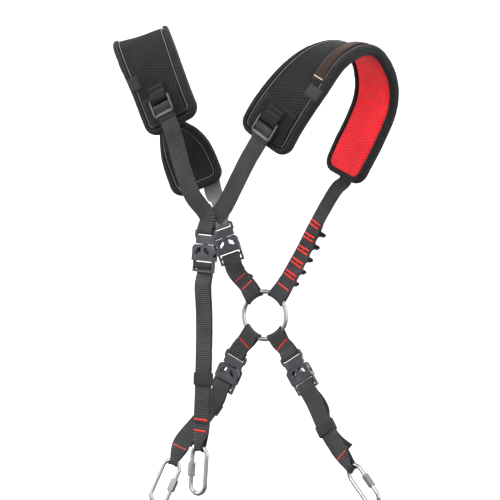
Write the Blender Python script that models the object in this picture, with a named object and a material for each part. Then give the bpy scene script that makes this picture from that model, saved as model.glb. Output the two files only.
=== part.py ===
"""Padded shoulder braces of a tool belt: two curved pads, webbing, a chest ring, four side-release
buckles and three quick links. The wearer faces +Y, +Z is up and the wearer's left is -X. The origin
lies between the shoulders. Lengths are in millimetres until a mesh is made."""
import math

import bmesh
import bpy
import numpy as np
from mathutils import Matrix

MM = 0.001
GAP = 0.4

WEB = 21.0
WEB_THICK = 1.6
PAD_NEAR_HALF = 35.0
PAD_FAR_HALF = 33.0
PAD_CORNER = 15.0
FOAM_HALF = 4.0
SKIN = 1.3
BINDING = 6.5
RING_R = 27.75
RING_WIRE = 2.75
LINK_R = 10.0
LINK_WIRE = 2.5
LINK_LENGTH = 53.0
SLEEVE_LENGTH = 15.0
SLEEVE_START = 19.5
BUCKLE_HALF = 14.5
BAR_R = 1.5
LINK_ROOM = 1.2
LOCK_LEFT_AT = 34.0
LOCK_RIGHT_AT = 28.0
LOCK_HEIGHT = 11.3
LOCK_BAR = 9.5
BUCKLE_BAR = 40.0
LEAF = [(1.7, 20.0), (5.6, 20.6), (9.0, 23.4), (10.2, 28.4), (6.4, 28.0), (2.4, 25.0)]

# Centre lines, one point per bend, and the way the outer face looks at each point.
LEFT_PAD = [(-43, -64, -79), (-54, -66, -53), (-66, -65, -26), (-82, -58, 1), (-103, -38, 23),
            (-118, -10, 23), (-120, 2, 7), (-114.6, 8, -14.7), (-107.9, 20, -42.1),
            (-100.6, 38, -76), (-89.8, 48, -110.4), (-75.8, 50, -145)]
LEFT_PAD_FACE = [(0, -1, 0), (0, -1, 0), (0, -1, 0.1), (0, -0.9, 0.4), (-0.2, -0.5, 0.9),
                 (-0.35, 0.5, 0.8), (-0.7, 0.7, 0.2), (-0.95, 0.3, 0), (-0.9, -0.4, 0),
                 (-0.45, -0.9, 0), (0.15, -1, 0), (0.3, -1, 0)]
RIGHT_PAD = [(64, -57, -100), (82, -60, -73), (110, -53, -35), (131, -34, -6), (144, 0, 6),
             (151, 32, -3), (152, 50, -28), (147, 57, -52), (134, 58, -81), (119, 57, -109),
             (107, 55, -134)]
RIGHT_PAD_FACE = [(0, -1, 0), (0, -1, 0.05), (0.05, -0.9, 0.4), (0, -0.6, 0.8), (0.15, -0.1, 1),
                  (0.45, 0.5, 0.7), (0.45, 0.85, 0.3), (0.39, 0.92, 0.05), (0.39, 0.92, 0),
                  (0.39, 0.92, 0), (0.42, 0.9, 0)]
LEFT_BACK = [(-40, -70, -94), (-33, -64, -128), (-21, -64, -156)]
RIGHT_BACK = [(48, -62, -118), (28, -54, -145), (13, -51, -168), (1, -52.8, -183)]
LEFT_FRONT = [(-63, 60.3, -149.5), (-53.7, 56, -161.4), (-47.7, 49, -174.6)]
LEFT_FRONT_FACE = [(-0.3, 1, 0), (-0.3, 1, 0), (-0.5, 0.9, 0), (-0.85, 0.5, 0), (-0.7, 0.7, 0)]
RIGHT_FRONT = [(101, 56, -146), (75, 54, -187), (57, 53, -222), (39, 53, -252)]
BACK_FACE = (-0.15, -1, 0)
SHOULDER_FACE = (-0.3, 0.95, 0)
BACK_TOP, BACK_BOTTOM = (-7, -57, -194), (-11, -57, -242)
SHOULDER_TOP, SHOULDER_BOTTOM = (-45.7, 44, -186.5), (-31, 49, -231.1)
BACK_LINE = [(-10, -57, -295), (-11, -57, -357), (-13, -57, -407), (-15, -57, -436)]
LEFT_LINE = [(-67, 46, -412), (-88, 30, -443), (-95, 22, -465)]
RIGHT_LINE = [(89, 48, -417), (108, 42, -441), (126, 38, -461)]
SHOULDER_RING_ANGLE = -33
RIGHT_RING_ANGLE = 37
LEFT_RING_ANGLE = 219
RIGHT_LOWER_ANGLE = 146
LEFT_TOP, LEFT_BOTTOM = (-27, 53, -338), (-50, 53, -384)
RIGHT_TOP, RIGHT_BOTTOM = (41, 53, -337), (67, 53, -379)
KEEPER_AT = {"left": 64, "right": 90}
TAILS = {"left": [(60, 1.2), (72, 1.2), (88, 1.3), (98, 4), (108, 8.5), (118, 9.5), (126, 6)],
         "right": [(58, 1.6), (66, 6), (77, 6.5), (86, 1.5), (98, 1.2), (110, 1.4), (119, 5), (130, 13)]}
RING_CENTRE = (9.0, 53.0, -293.0)

COLOURS = {
    "mesh": ((0.035, 0.035, 0.037), 0.85, 0),
    "lining": ((0.80, 0.035, 0.045), 0.8, 0),
    "binding": ((0.06, 0.06, 0.062), 0.75, 0),
    "webbing": ((0.075, 0.075, 0.077), 0.75, 0),
    "grey_webbing": ((0.22, 0.22, 0.22), 0.7, 0),
    "brown": ((0.045, 0.025, 0.018), 0.5, 0),
    "plastic": ((0.09, 0.09, 0.1), 0.45, 0),
    "steel": ((0.75, 0.75, 0.76), 0.2, 1),
}


def unit(vector):
    vector = np.asarray(vector, float)
    return vector / np.linalg.norm(vector)


def smooth_curve(points, spread=14):
    """Centripetal Catmull-Rom curve; columns after the first three follow the same pace."""
    points = np.array(points, float)
    points = np.vstack([2 * points[0] - points[1], points, 2 * points[-1] - points[-2]])
    steps = np.linalg.norm(np.diff(points[:, :3], axis=0), axis=1)
    knots = np.concatenate([[0], np.cumsum(steps ** 0.5)])
    result = []
    for i in range(1, len(points) - 2):
        for t in np.linspace(knots[i], knots[i + 1], spread, endpoint=False):
            result.append(span_point(points[i - 1:i + 3], knots[i - 1:i + 3], t))
    result.append(points[-2])
    return np.array(result)


def span_point(p, k, t):
    """One point of a Catmull-Rom span, by repeated interpolation between its four knots."""
    a = [mix(p[i], p[i + 1], k[i], k[i + 1], t) for i in range(3)]
    b = [mix(a[i], a[i + 1], k[i], k[i + 2], t) for i in range(2)]
    return mix(b[0], b[1], k[1], k[2], t)


def mix(a, b, start, end, t):
    return a * (end - t) / (end - start) + b * (t - start) / (end - start)


class Band:
    """A strip along a smooth centre line: s runs along it, u across it and n out of its face."""

    def __init__(self, points, faces):
        rows = smooth_curve([(*point, *unit(face)) for point, face in zip(points, faces, strict=True)])
        self.points, self.face = rows[:, :3], rows[:, 3:]
        steps = np.linalg.norm(np.diff(self.points, axis=0), axis=1)
        self.s = np.concatenate([[0], np.cumsum(steps)])
        self.length = self.s[-1]
        along = np.gradient(self.points, self.s, axis=0)
        self.along = along / np.linalg.norm(along, axis=1)[:, None]

    def frame(self, s):
        """Point, across, along and outward directions at s; past an end it runs straight on."""
        inside = min(max(s, 0), self.length)
        point = np.array([np.interp(inside, self.s, self.points[:, i]) for i in range(3)])
        along = unit([np.interp(inside, self.s, self.along[:, i]) for i in range(3)])
        face = np.array([np.interp(inside, self.s, self.face[:, i]) for i in range(3)])
        face = unit(face - along * face.dot(along))
        return point + along * (s - inside), np.cross(along, face), along, face

    def nearest(self, point):
        """The s at which the centre line passes closest to a point."""
        return self.s[np.argmin(np.linalg.norm(self.points - np.array(point, float), axis=1))]

    def place(self, s, u=0.0, n=0.0):
        point, across, _, face = self.frame(s)
        return point + across * u + face * n

    def matrix(self, s, n=0.0, turned=False):
        """Where a fitting goes: its x across, its y along and its z out of the face."""
        point, across, along, face = self.frame(s)
        if turned:
            across, along = -across, -along
        matrix = np.eye(4)
        matrix[:3, :3] = np.array([across, along, face]).T
        matrix[:3, 3] = (point + face * n) * MM
        return Matrix(matrix.tolist())


# Objects and meshes


def material(name):
    found = bpy.data.materials.get(name)
    if found:
        return found
    colour, roughness, metallic = COLOURS[name]
    found = bpy.data.materials.new(name)
    found.use_nodes = True
    shader = found.node_tree.nodes["Principled BSDF"]
    shader.inputs["Base Color"].default_value = (*colour, 1)
    shader.inputs["Roughness"].default_value = roughness
    shader.inputs["Metallic"].default_value = metallic
    return found


def make_mesh(name, points, faces):
    mesh = bpy.data.meshes.new(name)
    mesh.from_pydata([tuple(float(value) * MM for value in point) for point in points], [], faces)
    shape = bmesh.new()
    shape.from_mesh(mesh)
    bmesh.ops.recalc_face_normals(shape, faces=shape.faces)
    shape.to_mesh(mesh)
    shape.free()
    return mesh


def add(name, mesh, colour, matrix=None):
    """Puts a mesh in the scene as one named sub-part."""
    obj = bpy.data.objects.new(name, mesh)
    bpy.context.scene.collection.objects.link(obj)
    if not mesh.materials:
        mesh.materials.append(material(colour))
    if matrix is not None:
        obj.matrix_world = matrix
    return obj


def loft_mesh(name, rings, closed=False, turn=None):
    """Skins rings of equal length. From index turn on, the diagonals lean the other way."""
    count = len(rings[0])
    turn = count if turn is None else turn
    faces = []
    for i in range(len(rings) if closed else len(rings) - 1):
        this, after = i * count, (i + 1) % len(rings) * count
        for j in range(count):
            k = (j + 1) % count
            if j < turn:
                faces += [(this + j, after + j, after + k), (this + j, after + k, this + k)]
            else:
                faces += [(this + j, after + j, this + k), (after + j, after + k, this + k)]
    if not closed:
        faces += [tuple(range(count)), tuple(range((len(rings) - 1) * count, len(rings) * count))]
    return make_mesh(name, [point for ring in rings for point in ring], faces)


def plate_mesh(name, outline, low, high):
    """A flat outline in x and y, raised from low to high in z."""
    count = len(outline)
    points = [(x, y, z) for z in (low, high) for x, y in outline]
    faces = [(i, (i + 1) % count, count + (i + 1) % count, count + i) for i in range(count)]
    faces += [tuple(range(count)), tuple(range(count, 2 * count))]
    return make_mesh(name, points, faces)


def box_mesh(name, x, y, z):
    return plate_mesh(name, [(x[0], y[0]), (x[1], y[0]), (x[1], y[1]), (x[0], y[1])], *z)


def bar_mesh(name, half, y, radius, sides=10):
    """A round bar along x at height y."""
    turns = [math.tau * (i + 0.5) / sides for i in range(sides)]
    rings = [[(x, y + radius * math.cos(a), radius * math.sin(a)) for a in turns]
             for x in (-half, half)]
    return loft_mesh(name, rings)


def combine(name, base, steps):
    """Applies unions and cuts to a mesh, and returns the finished mesh."""
    body = bpy.data.objects.new(name, base)
    bpy.context.scene.collection.objects.link(body)
    helpers = []
    for operation, mesh in steps:
        helper = bpy.data.objects.new("helper", mesh)
        bpy.context.scene.collection.objects.link(helper)
        modifier = body.modifiers.new(operation, "BOOLEAN")
        modifier.operation = operation
        modifier.object = helper
        helpers.append(helper)
    graph = bpy.context.evaluated_depsgraph_get()
    mesh = bpy.data.meshes.new_from_object(body.evaluated_get(graph))
    for obj in [body, *helpers]:
        bpy.data.objects.remove(obj)
    mesh.materials.clear()
    return mesh


# Soft parts


def slab(name, band, stations, low, high, colour, columns=2):
    """A layer on a band. A station is (s, u low, u high)."""
    rings = []
    for s, left, right in stations:
        across = [left + (right - left) * i / columns for i in range(columns + 1)]
        rings.append([band.place(s, u, high) for u in across]
                     + [band.place(s, u, low) for u in reversed(across)])
    return add(name, loft_mesh(name, rings, turn=columns + 1), colour)


def pad_half(s, length):
    return PAD_NEAR_HALF + (PAD_FAR_HALF - PAD_NEAR_HALF) * s / length


def pad_stations(length, inset):
    """Stations of a pad outline with round corners, drawn in by the inset."""
    turns = [math.radians(a) for a in (0, 30, 60)]
    radius = PAD_CORNER - inset
    near = [(PAD_CORNER - radius * math.cos(a), radius * math.sin(a) - PAD_CORNER) for a in turns]
    count = 28
    middle = [PAD_CORNER + (length - 2 * PAD_CORNER) * i / count for i in range(count + 1)]
    halves = [(s, pad_half(s, length) + extra) for s, extra in near]
    halves += [(s, pad_half(s, length) - inset) for s in middle]
    halves += [(length - s, pad_half(length - s, length) + extra) for s, extra in reversed(near)]
    return [(s, -half, half) for s, half in halves]


def pad_binding(name, band):
    """The bound edge, one closed rim round the pad."""
    outer = pad_stations(band.length, 0)
    inner = pad_stations(band.length, BINDING)
    shoulder = [(o[0] * 0.78 + i[0] * 0.22, o[2] * 0.78 + i[2] * 0.22) for o, i in zip(outer, inner)]
    edge = FOAM_HALF + GAP * 0.75 + SKIN
    rings = []
    for side in (1, -1):
        order = range(len(outer)) if side == 1 else reversed(range(len(outer)))
        for i in order:
            profile = [(outer[i][0], outer[i][2], -0.4 * edge), (outer[i][0], outer[i][2], 0.4 * edge),
                       (*shoulder[i], edge), (inner[i][0], inner[i][2], edge),
                       (inner[i][0], inner[i][2], -edge), (*shoulder[i], -edge)]
            rings.append([band.place(s, side * u, n) for s, u, n in profile])
    return add(name, loft_mesh(name, rings, closed=True), "binding")


def make_pad(side, band):
    inset = BINDING + 2.2 * GAP
    stations = pad_stations(band.length, inset)
    slab(f"{side}_pad_foam", band, stations, -FOAM_HALF, FOAM_HALF, "binding")
    skin = FOAM_HALF + GAP * 0.75
    slab(f"{side}_pad_cover", band, stations, skin, skin + SKIN, "mesh")
    slab(f"{side}_pad_lining", band, stations, -skin - SKIN, -skin, "lining")
    pad_binding(f"{side}_pad_binding", band)


def ribbon(name, band, path, colour="webbing", bend=RING_R, columns=1):
    """Webbing along a route of (s, n, half width, crease, shift) on a band; what a point leaves
    out is full width and 0. A crease of 1 or -1 bows with a wire of radius bend."""
    rows = [(*point, *(WEB / 2, 0.0, 0.0)[len(point) - 2:]) for point in path]
    line = smooth_curve(rows, 2)
    aim = np.gradient(line[:, :2], axis=0)
    aim /= np.linalg.norm(aim, axis=1)[:, None]
    rings = []
    for (s, n, half, crease, shift), (ds, dn) in zip(line, aim):
        ring = []
        for side in (1, -1):
            for u in [side * half * (2 * i / columns - 1) for i in range(columns + 1)]:
                reach = min(abs(u), 0.95 * bend)
                bow = crease * (bend - math.sqrt(bend * bend - reach * reach))
                lift = side * WEB_THICK / 2
                ring.append(band.place(s + bow - dn * lift, u + shift, n + ds * lift))
        rings.append(ring)
    return add(name, loft_mesh(name, rings, turn=columns + 1), colour)


def arc(s, n, radius, start, end, count, *rest):
    """Points of a turn about (s, n); an angle of 0 points to +s and 90 to +n."""
    turns = [math.radians(start + (end - start) * i / count) for i in range(count + 1)]
    return [(s + radius * math.cos(a), n + radius * math.sin(a), *rest) for a in turns]


def run(start, end, n, n_end=None, step=18):
    """Points every step or so from start to end."""
    count = max(1, round(abs(end - start) / step))
    n_end = n if n_end is None else n_end
    return [(start + (end - start) * i / count, n + (n_end - n) * i / count) for i in range(count + 1)]


def wire_turn(s, radius, side, half=WEB / 2, crease=1.0):
    """Round a wire at s, from n = side to -side; the strap comes from lower s."""
    turn = arc(s, 0, radius, 105 * side, -105 * side, 6, half, crease)
    lead = (s - 2.3 * radius, side * 0.62 * radius, half + 0.5 * (WEB / 2 - half), 0.5 * crease)
    return [lead, *turn, (lead[0], -lead[1], *lead[2:])]


def bar_turn(s):
    """Round the flat bar of a male buckle half, whose edge is at s, from the outer side."""
    outer = [(-6, 1.5), (-3, 2.7), (1.4, 3.6), (4.3, 2.7), (5.0, 0.9)]
    return [(s + a, b) for a, b in outer + [(a, -b) for a, b in reversed(outer)]]


def adjuster_turn(s):
    """Round the adjuster bar at s: the load comes up the inner side, the tail goes out above it."""
    turn = arc(s, 0, BAR_R + GAP + WEB_THICK / 2, 275, 45, 7)
    return [(s + 14, -3.8), (s + 8.5, -4.4), (s + 4, -4.2), *turn, (s + 4.0, -0.7), (s + 6.2, -2.4),
            (s + 9.5, -2.3), (s + 15, -0.9)]


# Hard parts


def male_mesh():
    half = BUCKLE_HALF - 2
    right = [(half, 0), (half + 2, 2), (half + 2, 8.5), (half, 11.5), (half, 16.6), (2.4, 16.6), (2.4, 27)]
    outline = right + [(0, 28.4)] + [(-x, y) for x, y in reversed(right)]
    slot = box_mesh("slot", (-11.7, 11.7), (3, 6.8), (-9, 9))
    return combine("male", plate_mesh("male", outline, -2, 2), [("DIFFERENCE", slot)])


def prong_mesh(side):
    outline = [(5.6, 17.4), (9.4, 17.4), (12.6, 20), (14.2, 23), (14.2, 26.2), (12.4, 29.2), (9.4, 30),
               (8.6, 28.4), (10.2, 25.8), (9.4, 22)]
    return plate_mesh("prong", [(side * x, y) for x, y in outline], -2.2, 2.2)


def female_mesh():
    half = BUCKLE_HALF
    shell = plate_mesh("female", [(-half + 2.5, 17.3), (half - 2.5, 17.3), (half, 20.5), (half, 35.4),
                                  (-half, 35.4), (-half, 20.5)], -5, 5)
    hollow = box_mesh("hollow", (-half - 2, half + 2), (16, 30.7), (-2.7, 2.7))
    frame = box_mesh("frame", (-half, half), (33.5, 48), (-2, 2))
    gap = box_mesh("gap", (-12.1, 12.1), (35.4, 45.6), (-6, 6))
    under = box_mesh("under", (-12.1, 12.1), (44, 50), (-6, -0.8))
    steps = [("DIFFERENCE", hollow), ("UNION", frame), ("DIFFERENCE", gap), ("DIFFERENCE", under)]
    for side in (-1, 1):
        leaf = [(side * x, y) for x, y in LEAF]
        steps.append(("DIFFERENCE", plate_mesh("leaf", leaf, -9, 9)))
    steps.append(("UNION", bar_mesh("bar", 13, 40, BAR_R)))
    return combine("female", shell, steps)


def ladder_lock_mesh():
    """A rectangular frame with a hinge bar at y = 0, a middle bar and a lip at the bottom."""
    outline = [(-13.2, -1.3), (13.2, -1.3), (13.2, 17.5), (11.5, 20), (-11.5, 20), (-13.2, 17.5)]
    inside = box_mesh("inside", (-11.3, 11.3), (-3, 16.6), (-6, 6))
    under = box_mesh("under", (-11.3, 11.3), (15, 30), (-6, 0.3))
    steps = [("DIFFERENCE", inside), ("DIFFERENCE", under), ("UNION", bar_mesh("hinge", 12, 0, 1.3)),
             ("UNION", bar_mesh("middle", 12, LOCK_BAR, BAR_R))]
    return combine("lock", plate_mesh("lock", outline, -1.8, 2.2), steps)


def wire_mesh(name, line, radius, closed=False, sides=8):
    """A round wire along a flat curve in x and y, with one facet towards the inside."""
    line = np.array(line, float)
    aim = np.roll(line, -1, 0) - np.roll(line, 1, 0) if closed else np.gradient(line, axis=0)
    aim /= np.linalg.norm(aim, axis=1)[:, None]
    turns = [math.tau * (i + 0.5) / sides for i in range(sides)]
    rings = [[(x + radius * math.cos(a) * -dy, y + radius * math.cos(a) * dx, radius * math.sin(a))
              for a in turns] for (x, y), (dx, dy) in zip(line, aim)]
    return loft_mesh(name, rings, closed=closed)


def link_mesh():
    """A C of wire: its gap, on the +x leg, lies under the sleeve."""
    bend = LINK_LENGTH - LINK_R
    top = [math.radians(180 * i / 9) for i in range(10)]
    line = [(LINK_R, 25.5), (LINK_R, 16)]
    line += [(LINK_R * math.cos(a), LINK_R - LINK_R * math.sin(a)) for a in top]
    line += [(-LINK_R, 26.5)]
    line += [(-LINK_R * math.cos(a), bend + LINK_R * math.sin(a)) for a in top]
    line += [(LINK_R, 37), (LINK_R, 31)]
    return wire_mesh("link", line, LINK_WIRE)


def column_mesh(name, radius, low, high, sides):
    """An upright prism along y, round the link leg at +x."""
    turns = [math.tau * (i + 0.5) / sides for i in range(sides)]
    rings = [[(LINK_R + radius * math.cos(a), y, radius * math.sin(a)) for a in turns] for y in (low, high)]
    return loft_mesh(name, rings)


def sleeve_mesh():
    """The hexagonal nut that closes the link."""
    low, high = SLEEVE_START, SLEEVE_START + SLEEVE_LENGTH
    bore = column_mesh("bore", LINK_WIRE + GAP, low - 3, high + 3, 12)
    return combine("sleeve", column_mesh("sleeve", 4.6, low, high, 6), [("DIFFERENCE", bore)])


def keeper_mesh():
    """An elastic loop round two layers of webbing."""
    wide = WEB / 2 + 1.1
    outer = box_mesh("keeper", (-wide - 1.2, wide + 1.2), (0, 14), (-4.6, 4.2))
    inner = box_mesh("inner", (-wide, wide), (-3, 17), (-3.4, 3.0))
    return combine("keeper", outer, [("DIFFERENCE", inner)])


def ring_mesh():
    turns = [math.tau * i / 32 for i in range(32)]
    return wire_mesh("ring", [(RING_R * math.cos(a), RING_R * math.sin(a)) for a in turns], RING_WIRE, True)


# Assembly


def pad_trims(left_pad, right_pad):
    """Reinforcing patches, edge keepers and the strip over the right shoulder."""
    for side, band, end in (("left", left_pad, 42), ("right", right_pad, 50)):
        slab(f"{side}_pad_patch", band, [(s, -24, 24) for s in np.linspace(8, end, 5)], 6.0, 6.8, "binding")
    slab("left_edge_keeper", left_pad, [(s, -33, -19) for s in (56, 62, 68, 74)], 6.0, 7.4, "webbing")
    slab("right_edge_keeper", right_pad, [(s, 15, 34) for s in (71, 77, 84)], 6.0, 7.4, "webbing")
    strip = [(s, 11.5 - 0.08 * (s - 90), 26.5 - 0.08 * (s - 90)) for s in np.linspace(90, 170, 12)]
    slab("right_shoulder_strip", right_pad, strip, 6.3, 7.4, "brown")


def shoulder_band():
    """From the shoulder buckle straight to the upper left of the ring."""
    ring = np.array(ring_point(SHOULDER_RING_ANGLE))
    out = unit(ring - np.array(RING_CENTRE))
    points = [*run_between(SHOULDER_TOP, SHOULDER_BOTTOM), *(tuple(ring + s * out) for s in (12, 6, 0))]
    return Band(points, [SHOULDER_FACE] * 5 + [(0, 1, 0)] * 3)


def fit_buckle(name, band, s, meshes):
    """A closed buckle on a band, with the male half's bar at s."""
    matrix = band.matrix(s)
    for part, mesh in meshes.items():
        add(f"{name}_{part}", mesh, "plastic", matrix)


def run_between(top, bottom, start=-14):
    """Points of a straight run that passes both and goes on a little at either end."""
    top, bottom = np.array(top, float), np.array(bottom, float)
    aim = unit(bottom - top)
    return [tuple(top + aim * step) for step in (start, 0, 24, 48, 58)]


def ring_point(angle):
    """A point on the ring's wire centre line; 0 is straight up and 90 is +X."""
    x, y, z = RING_CENTRE
    turn = math.radians(angle)
    return x + RING_R * math.sin(turn), y, z + RING_R * math.cos(turn)


def lock_frame(band, hinge):
    """A straight band through a lock on a pad: s is 0 at its hinge bar and grows up the pad."""
    point, _, along, face = band.frame(hinge)
    return Band([tuple(point + along * s) for s in (0, 20, 40)], [tuple(face)] * 3)


def fit_lock(side, band, hinge, lock):
    """The tab, the ladder lock that hinges in it, and the turn of webbing in the lock."""
    flat = lock_frame(band, hinge)
    height = LOCK_HEIGHT
    tab = [(16, 7.9), (7, 7.9), (3, 8.4), *arc(0, height, 1.3 + GAP + WEB_THICK / 2, 285, 75, 7)]
    ribbon(f"{side}_lock_tab", flat, tab + [(3.6, 13.0), (8, 10.4), (16, 9.9)])
    turn = [(-19.3, 8.3), (-16.5, 8.3), (-LOCK_BAR - 3, 8.2)]
    turn += arc(-LOCK_BAR, height, BAR_R + GAP + WEB_THICK / 2, 265, 480, 8)
    ribbon(f"{side}_lock_webbing", flat, turn + [(-LOCK_BAR - 4.2, 11.8), (-16.8, 10.3), (-24, 10.1)])
    add(f"{side}_ladder_lock", lock, "plastic", flat.matrix(0, height, True))


def lock_exit(band, hinge):
    """Where the webbing leaves a lock: points that carry it straight on."""
    flat = lock_frame(band, hinge)
    return [tuple(flat.place(-y, 0, LOCK_HEIGHT - 3)) for y in (21, 27, 34)]


def fit_link(name, band, s, link, sleeve):
    matrix = band.matrix(s)
    add(f"{name}_quick_link", link, "steel", matrix)
    add(f"{name}_link_sleeve", sleeve, "steel", matrix)


def lower_strap(name, band, male_at, link_at, tail):
    """One length of webbing: sewn round its link, up to the adjuster bar and out as a tail."""
    bar = male_at + BUCKLE_BAR
    radius = LINK_WIRE + LINK_ROOM + WEB_THICK / 2
    path = [(link_at - 22, 1.1), (link_at - 16, 1.1), *wire_turn(link_at, radius, 1, 5.0)]
    path += run(link_at - 20, bar + 26, -1.1, -2.0)
    path += adjuster_turn(bar) + tail
    ribbon(name, band, path, bend=LINK_R, columns=2)


def front_band(angle, top, line, faces):
    """From the ring wire through a buckle whose male bar is at top, and down to a link."""
    ring = np.array(ring_point(angle))
    out = unit(ring - np.array(RING_CENTRE))
    aim = unit(np.array(top[1], float) - np.array(top[0], float))
    start = np.array(top[0], float)
    points = [ring, ring + 10 * out, start - 6 * aim, start, start + 44 * aim, start + 56 * aim]
    band = Band([*map(tuple, points), *line], faces)
    return band, band.nearest(start)


def ring_to_buckle(name, band, male_at):
    """A short closed loop of webbing from the ring to the male half, its ends met at the back."""
    middle = male_at / 2
    radius = RING_WIRE + 0.7 + WEB_THICK / 2
    ring = [(-s, *rest[:1], *rest[1:2], -rest[2]) for s, *rest in wire_turn(0, radius, -1)]
    path = [(middle - 0.4, -1.1)] + ring + [(middle, 1.1)] + bar_turn(male_at) + [(middle + 0.4, -1.1)]
    ribbon(name, band, path, columns=2)


def daisy_chain(name, band, loops, pitch):
    """A strip sewn along the outer side of a strap, with a loop standing up in each pitch."""
    base = 3.6
    start = band.length - 14 - loops * pitch
    path = [(start - 1, base, 8.5)]
    for i in range(loops):
        middle = start + pitch * (i + 0.5)
        rise = [(-4.6, 0), (-2.2, 2.4), (-2.0, 8.5), (0, 11.5), (2.0, 8.5), (2.2, 2.4), (4.6, 0)]
        path += [(middle + a, base + b, 8.5) for a, b in rise]
    path.append((start + pitch * loops + 1, base, 8.5))
    ribbon(name, band, path)


def main():
    for obj in list(bpy.data.objects):
        bpy.data.objects.remove(obj)
    left_pad = Band(LEFT_PAD, LEFT_PAD_FACE)
    right_pad = Band(RIGHT_PAD, RIGHT_PAD_FACE)
    make_pad("left", left_pad)
    make_pad("right", right_pad)
    pad_trims(left_pad, right_pad)
    lock = ladder_lock_mesh()
    fit_lock("left", left_pad, LOCK_LEFT_AT, lock)
    fit_lock("right", right_pad, LOCK_RIGHT_AT, lock)
    buckle = {"male": male_mesh(), "prong_left": prong_mesh(-1), "prong_right": prong_mesh(1),
              "female": female_mesh()}
    link, sleeve, keeper = link_mesh(), sleeve_mesh(), keeper_mesh()

    back = Band([*run_between(BACK_TOP, BACK_BOTTOM), *BACK_LINE], [BACK_FACE] * 9)
    back_male = back.nearest(BACK_TOP)
    fit_buckle("back", back, back_male, buckle)
    tail = run(back_male + 62, back.length - 27, 1.1)
    lower_strap("back_strap", back, back_male, back.length, tail)
    add("back_keeper", keeper, "webbing", back.matrix(back_male + 160))
    fit_link("back", back, back.length, link, sleeve)

    run_left = Band([*lock_exit(left_pad, LOCK_LEFT_AT), *LEFT_BACK, *run_between(BACK_TOP, BACK_BOTTOM)[:3]],
                    [(0, -1, 0)] * 6 + [BACK_FACE] * 3)
    end = run_left.nearest(BACK_TOP)
    ribbon("left_back_webbing", run_left, run(1.2, end - 26, 0) + [(end - 12, 1.1)] + bar_turn(end)
           + [(end - 12, -1.1), (end - 24, -1.1)])
    run_right = Band([*lock_exit(right_pad, LOCK_RIGHT_AT), *RIGHT_BACK], [(0, -1, 0)] * 7)
    ribbon("right_back_webbing", run_right, run(3, run_right.length, 0))

    shoulder = shoulder_band()
    male_at = shoulder.nearest(SHOULDER_TOP)
    fit_buckle("shoulder", shoulder, male_at, buckle)
    radius = RING_WIRE + 0.7 + WEB_THICK / 2
    ring_at = shoulder.length
    bar = male_at + BUCKLE_BAR
    path = [(ring_at - 24, 1.1), (ring_at - 15, 1.1), *wire_turn(ring_at, radius, 1)]
    path += [(ring_at - 15, -1.1)] + run(ring_at - 24, bar + 24, -1.1, -2.4)
    ribbon("shoulder_ring_webbing", shoulder, path + adjuster_turn(bar) + [(bar + 22, 0.4)], columns=2)
    pad_end = [tuple(left_pad.place(left_pad.length + s, -14, n)) for s, n in ((-24, -7.6), (-6, -8.4))]
    front = Band([*pad_end, *LEFT_FRONT, *run_between(SHOULDER_TOP, SHOULDER_BOTTOM, -7)[:3]],
                 LEFT_FRONT_FACE + [SHOULDER_FACE] * 3)
    end = front.nearest(SHOULDER_TOP)
    ribbon("left_front_webbing", front, run(0, end - 22, 0) + [(end - 12, 1.1)] + bar_turn(end)
           + [(end - 12, -1.1), (end - 18, -1.1)], "grey_webbing")

    end = right_pad.length
    ring = np.array(ring_point(RIGHT_RING_ANGLE))
    out = unit(ring - np.array(RING_CENTRE))
    pad_end = [tuple(right_pad.place(end + s, 0, n)) for s, n in ((-20, 7.2), (-8, 7.2), (4, 6.5))]
    right = Band([*pad_end, *RIGHT_FRONT, tuple(ring + 12 * out), tuple(ring)],
                 [RIGHT_PAD_FACE[-1]] * 4 + [(0.4, 0.9, 0), (0.2, 1, 0), (0.05, 1, 0)] + [(0, 1, 0)] * 2)
    ring_at = right.length
    path = run(0, ring_at - 26, 0) + [(ring_at - 15, 1.1), *wire_turn(ring_at, radius, 1)]
    ribbon("right_front_webbing", right, path + [(ring_at - 15, -1.1), (ring_at - 22, -1.1)], columns=2)
    daisy_chain("right_daisy_chain", right, 5, 16.5)
    daisy_chain("left_daisy_chain", shoulder, 2, 15)

    left, left_male = front_band(LEFT_RING_ANGLE, (LEFT_TOP, LEFT_BOTTOM), LEFT_LINE,
                                 [(0, 1, 0)] * 7 + [(-0.15, 1, 0), (-0.3, 0.9, 0)])
    right, right_male = front_band(RIGHT_LOWER_ANGLE, (RIGHT_TOP, RIGHT_BOTTOM), RIGHT_LINE,
                                   [(0, 1, 0)] * 6 + [(0.1, 1, 0), (0.25, 0.95, 0), (0.35, 0.9, 0)])
    for side, band, male_at in (("left", left, left_male), ("right", right, right_male)):
        ring_to_buckle(f"{side}_ring_loop", band, male_at)
        fit_buckle(side, band, male_at, buckle)
        end = band.length
        lower_strap(f"{side}_strap", band, male_at, end, [(male_at + s, n) for s, n in TAILS[side]])
        add(f"{side}_keeper", keeper, "webbing", band.matrix(male_at + KEEPER_AT[side]))
        fit_link(side, band, end, link, sleeve)
    turn = Matrix.Rotation(math.radians(90), 4, "X")
    turn.translation = [value * MM for value in RING_CENTRE]
    add("chest_ring", ring_mesh(), "steel", turn)


main()
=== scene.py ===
# Looks for the padded tool-belt suspenders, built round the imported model. Route points and sizes
# are in millimetres and repeat those of the CAD; meshes are made in metres.
import math

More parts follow.
